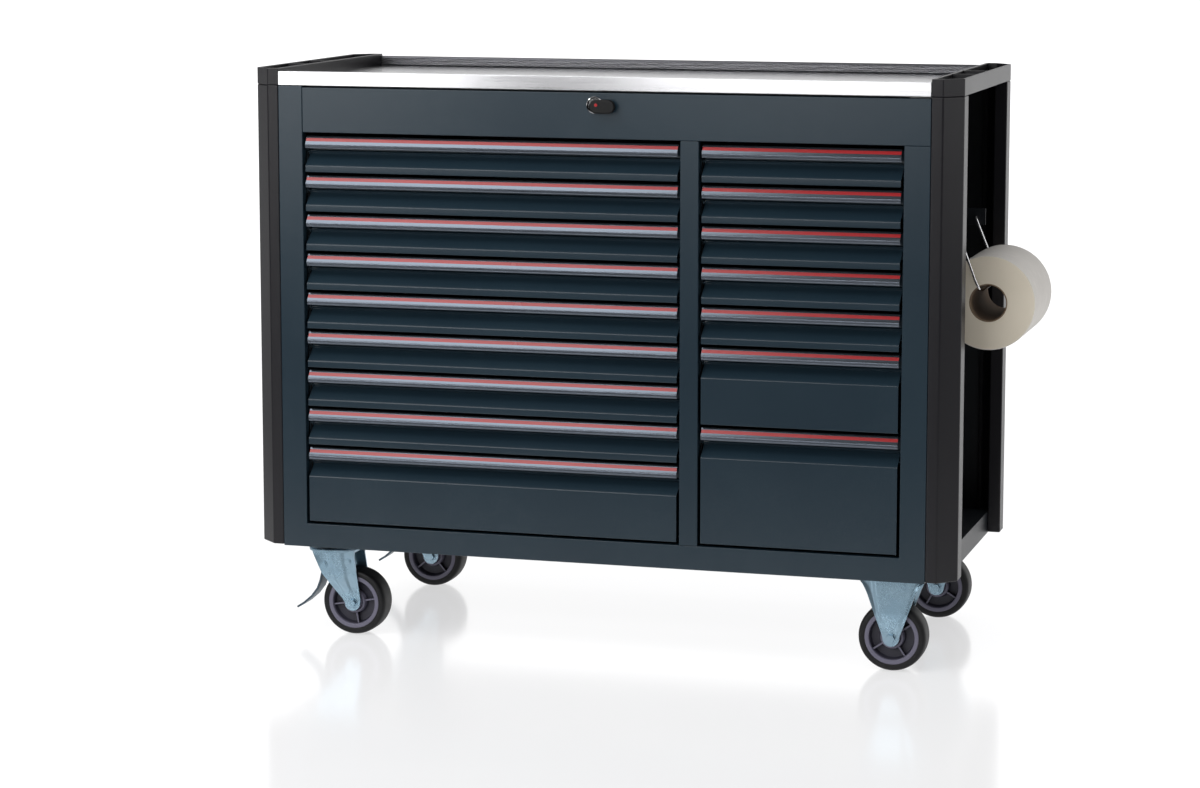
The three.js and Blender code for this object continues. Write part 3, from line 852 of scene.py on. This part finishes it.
def legRows(stops, centreX, levels=44):
    # widths down to the toe, which is a half circle round the axle
    top, toe, axle = stops[0][0], castor["toe"], castor["wheel"]
    rows = []
    for i in range(levels + 1):
        z = top + (axle - top) * i / levels
        left, right = between([(h, a) for h, a, b in stops], z), between([(h, b) for h, a, b in stops], z)
        rows.append((z, left, right))
    for i in range(1, 15):
        a = math.radians(88.5 * i / 14)
        rows.append((axle - toe * math.sin(a), centreX - toe * math.cos(a), centreX + toe * math.cos(a)))
    return rows


def axleBolt(x, y, reach):
    front = bolts([(x, y - reach, castor["wheel"])], "zinc", 6, 8.4, 6.2, 10.5, frontward)
    back = bolts([(x, y + reach, castor["wheel"])], "zinc", 6, 8.4, 6.2, 10.5, backward)
    shaft = lathed([(0.01, -reach), (5.8, -reach), (5.8, reach), (0.01, reach)], (x, y, castor["wheel"]), 32)
    return front, back, shaft


def plateBolts(x, y, name):
    wide, deep = castor["holes"]
    spots = [(x + dx, y + dy, castor["top"] - 4) for dx in (-wide, wide) for dy in (-deep, deep)]
    nuts = bolts(spots, "zinc", 6, 7, 6.5, 9.5, downward)
    shown(name + "_plate_nuts", nuts, "zinc", "cabinet")


def mountingPlate(x, y):
    wide, deep = castor["plate"]
    top = castor["top"]
    corners = [(x - wide, y - deep), (x + wide, y - deep), (x + wide, y + deep), (x - wide, y + deep)]
    return bevelled(run(rounded(corners, 9), "z", top - 4, top, "zinc"), castor["edge"])


def makeFixedCastor(corner, y, phase):
    x, name = castor["x"], "castor_" + corner
    half = [(180.4, 65), (176, 64), (171, 60), (165, 54.5), (157, 49.5), (146, 44.5), (132, 39.5),
            (castor["wheel"] + 4, 16.4), (castor["wheel"], castor["toe"])]
    rows = legRows([(h, x - w, x + w) for h, w in half], x)

    def relief(px, z):
        wide = between([(181, 34), (150, 31), (110, 24), (80, 13), (64, 8), (0, 8)], z)
        lift = 1 - easy(abs(px - x), wide - 4, wide + 5)
        side = between(half, z)
        rim = 2.6 * easy(abs(px - x), side - 9, side) * easy(z, 84, 110) * (1 - easy(z, 166, 176))
        return 4.4 * lift * easy(z, 74, 112) - 2.5 * easy(abs(px - x), 44, 62) * easy(z, 150, 168) + rim

    parts = [mountingPlate(x, y), *pressedLegs(rows, y, relief), *axleBolt(x, y, castor["leg"] + 0.4)]
    shown(name + "_pressing", joined(name, parts), "zinc", "cabinet", [name + "_fork"], 42)
    plateBolts(x, y, name)
    makeWheel(corner, x, y, phase)


def makeSwivelCastor(corner, y, phase):
    x, wheelX, name = castor["swivelX"], castor["swivelX"] + castor["trail"], "castor_" + corner
    bodyName = name + "_swivel"
    head = [(0.01, -5.6), (20, -5.6), (33, -4.8), (38.6, -1.5), (40, 2), (40, 4), (0.01, 4)]
    dish = lathed([(r, h) for r, h in head], (0, 0, 0), 64)
    dish.transform(Matrix.Translation(at(x, y, 175.8)) @ Matrix.Rotation(math.pi / 2, 4, "X")
                   @ Matrix.Translation(-at(0, 0, 0)))
    plate = [mountingPlate(x, y), dish]
    shown(name + "_top_plate", joined(name, plate), "zinc", "cabinet", [name + "_plate"], 42)
    plateBolts(x, y, name)
    axle, toe = castor["wheel"], castor["toe"]
    crownSide = [(167.4, x - 24, x + 61.4), (160, x - 25, x + 61.4), (153, x - 22, x + 61)]
    shin = [(118, x - 5, x + 66.5), (axle + 8, wheelX - 20.5, wheelX + 16.4),
            (axle, wheelX - toe, wheelX + toe)]
    rows = legRows(crownSide + shin, wheelX)

    def relief(px, z):
        middle = between([(168, x + 20), (110, x + 34), (64, wheelX), (0, wheelX)], z)
        wide = between([(168, 15), (110, 11), (64, 5), (0, 5)], z)
        ridge = 1 - easy(abs(px - middle), wide - 3, wide + 4)
        return 1.3 * ridge * easy(z, 72, 96) - 1.6 * easy(x + 4 - px, 0, 22) * easy(z, 130, 160)

    out = castor["leg"]
    crown = arc(x, y, 40, 62, 298, 24) + [(x + 61.4, y - out + 1), (x + 61.4, y + out - 1)]
    parts = [bevelled(run(crown, "z", 161.6, 167.5, "zinc"), 1.4, 3), *pressedLegs(rows, y, relief),
             *axleBolt(wheelX, y, out + 0.4)]
    for way, turn in ((-1, frontward), (1, backward)):
        rivets = [(x + dx, y + way * (out + 0.6), z) for dx, z in ((-1, 137), (48, 145))]
        parts.append(bolts(rivets, "zinc", 20, 4.4, 2.0, 7.0, turn))
    shown(name + "_pressing", joined(name, parts), "zinc", bodyName, [name + "_fork"], 42)
    softened(name + "_brake_pedal", "lever", 1.1, name + "_brake", rename=name + "_brake_lever")
    makeWheel(corner, wheelX, y, phase)


makeSwivelCastor("front_left", castor["y"], 10)
makeSwivelCastor("rear_left", castor["rearY"], 40)
makeFixedCastor("front_right", castor["y"], 35)
makeFixedCastor("rear_right", castor["rearY"], 60)
print("castors")


def makeBackDetails():
    # rivets round the back panel
    back = 573.0
    spots = [(x, back, z) for x in range(-600, 601, 150) for z in (205, 1045)]
    spots += [(x, back, z) for x in (-612, 612) for z in range(310, 1000, 115)]
    rivets = bolts(spots, "darkPowder", 16, 3.6, 1.2, 4.8, backward)
    shown("back_panel_rivets", rivets, "darkPowder", "cabinet")


makeBackDetails()


studio = {
    "floor": rgb(158, 158, 159), "glow": 0.62, "room": 0.13, "backdrop": 1.0, "sun": 1.1, "floorSize": 90,
    "lens": 96.391, "shift": -0.05, "eye": (1684.6, -5687.9, 1432.5), "turn": 16.4085, "down": 7.8619,
}


def sheetOn(name, low, high, level):
    # a flat rectangle in metres, lying at that level
    (x0, y0), (x1, y1) = low, high
    sheet = bpy.data.meshes.new(name)
    corners = [(x0, y0, level), (x1, y0, level), (x1, y1, level), (x0, y1, level)]
    sheet.from_pydata(corners, [], [(0, 1, 2, 3)])
    return sheet


def makeFloor():
    # a pale table lit from within, so the shadow on it stays light
    size = studio["floorSize"]
    floor = sheetOn("floor", (-size, -size), (size, size), -0.0005)
    finish = Finish("studioFloor", specular=0.5)
    finish.shader.inputs["Emission Strength"].default_value = studio["glow"]
    haze = finish.noise(1.5, 2)
    glow = finish.mix(haze, rgb(252, 252, 253), rgb(255, 255, 255))
    finish.join(glow, finish.shader.inputs["Emission Color"])
    floor.materials.append(finish.finished(studio["floor"], 0.12 + haze * 0.05))
    ground = bpy.data.objects.new("floor", floor)
    bpy.context.scene.collection.objects.link(ground)
    ground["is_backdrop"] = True


def makeRoom():
    # white behind the chest, dim in front of it, and white all round where it is seen directly
    world = bpy.data.worlds.new("studio")
    bpy.context.scene.world = world
    world.use_nodes = True
    nodes, links = world.node_tree.nodes, world.node_tree.links
    spread = nodes.new("ShaderNodeSeparateXYZ")
    links.new(nodes.new("ShaderNodeTexCoord").outputs["Generated"], spread.inputs[0])
    level = nodes.new("ShaderNodeMapRange")
    links.new(spread.outputs["Y"], level.inputs["Value"])
    spans = {"From Min": 0.5, "From Max": 0.85, "To Min": studio["room"], "To Max": studio["backdrop"]}
    for key, value in spans.items():
        level.inputs[key].default_value = value
    plain = nodes.new("ShaderNodeMath")
    plain.operation = "MAXIMUM"
    links.new(level.outputs[0], plain.inputs[0])
    links.new(nodes.new("ShaderNodeLightPath").outputs["Is Camera Ray"], plain.inputs[1])
    links.new(plain.outputs[0], nodes["Background"].inputs["Strength"])
    nodes["Background"].inputs["Color"].default_value = (1, 1, 1, 1)


def makeDarkCard():
    # black cloth on the floor in front and on both sides, which only reflections see
    card = sheetOn("darkCard", (-30, -30), (30, 2), 0.002)
    finish = Finish("blackCloth", specular=0.0)
    weave = finish.noise(300, 2)
    x, y = finish.parts("X"), finish.parts("Y")

    def fade(value, start, end):
        # clear at the start, black from the end on
        return finish.ramp((value - start) / (end - start), (0, 0), (1, 1))

    front = fade(y, -1.1, -2.3)
    left = fade(x, -1.8, -2.8) * fade(y, 1.3, 0.2)
    right = fade(x, 1.8, 2.8) * fade(y, 0.3, -0.8)
    finish.join(1 - (1 - front) * (1 - left) * (1 - right), finish.shader.inputs["Alpha"])
    card.materials.append(finish.finished(finish.mix(weave, rgb(10, 10, 11), rgb(16, 16, 17)), 0.95))
    cloth = bpy.data.objects.new("darkCard", card)
    bpy.context.scene.collection.objects.link(cloth)
    cloth.visible_camera = cloth.visible_diffuse = cloth.visible_shadow = False
    cloth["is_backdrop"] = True


def areaLight(name, place, aim, size, power):
    data = bpy.data.lights.new(name, "AREA")
    data.shape = "RECTANGLE"
    data.size, data.size_y = size
    data.energy = power
    lamp = bpy.data.objects.new(name, data)
    bpy.context.scene.collection.objects.link(lamp)
    lamp.location = place
    lamp.rotation_euler = (Vector(aim) - Vector(place)).to_track_quat("-Z", "Y").to_euler()
    lamp.visible_camera = False


def sunLight(name, direction, strength, angle):
    data = bpy.data.lights.new(name, "SUN")
    data.energy = strength
    data.angle = math.radians(angle)
    lamp = bpy.data.objects.new(name, data)
    bpy.context.scene.collection.objects.link(lamp)
    lamp.rotation_euler = Vector(direction).to_track_quat("-Z", "Y").to_euler()
    return lamp


def makeCamera():
    data = bpy.data.cameras.new("camera")
    data.sensor_width = 36
    data.lens = studio["lens"]
    data.shift_y = studio["shift"]
    data.clip_start, data.clip_end = 0.1, 400
    camera = bpy.data.objects.new("camera", data)
    bpy.context.scene.collection.objects.link(camera)
    camera.location = at(*studio["eye"])
    camera.rotation_euler = (math.radians(90 - studio["down"]), 0, math.radians(studio["turn"]))
    bpy.context.scene.camera = camera


makeFloor()
makeRoom()
makeDarkCard()
sunLight("overhead", (0.12, 0.3, -1), studio["sun"], 70).visible_glossy = False
areaLight("softboxLeft", (-2.2, -3.3, 0.95), (-0.5, 0, 0.9), (1.6, 0.6), 11)
areaLight("softboxRight", (-0.35, -3.4, 0.95), (0.3, 0, 0.9), (1.0, 0.4), 3.6)
areaLight("softboxFront", (-1.0, -3.4, 1.95), (-0.1, 0, 0.7), (3.0, 0.5), 46)
areaLight("softboxTop", (-1.55, -2.1, 3.2), (-0.6, 0, 0.4), (1.9, 1.4), 34)
areaLight("softboxSide", (3.0, -0.4, 1.5), (0.7, 0.1, 0.7), (1.2, 1.6), 14)
makeCamera()
bpy.context.scene.view_settings.view_transform = "Standard"

low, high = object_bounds()
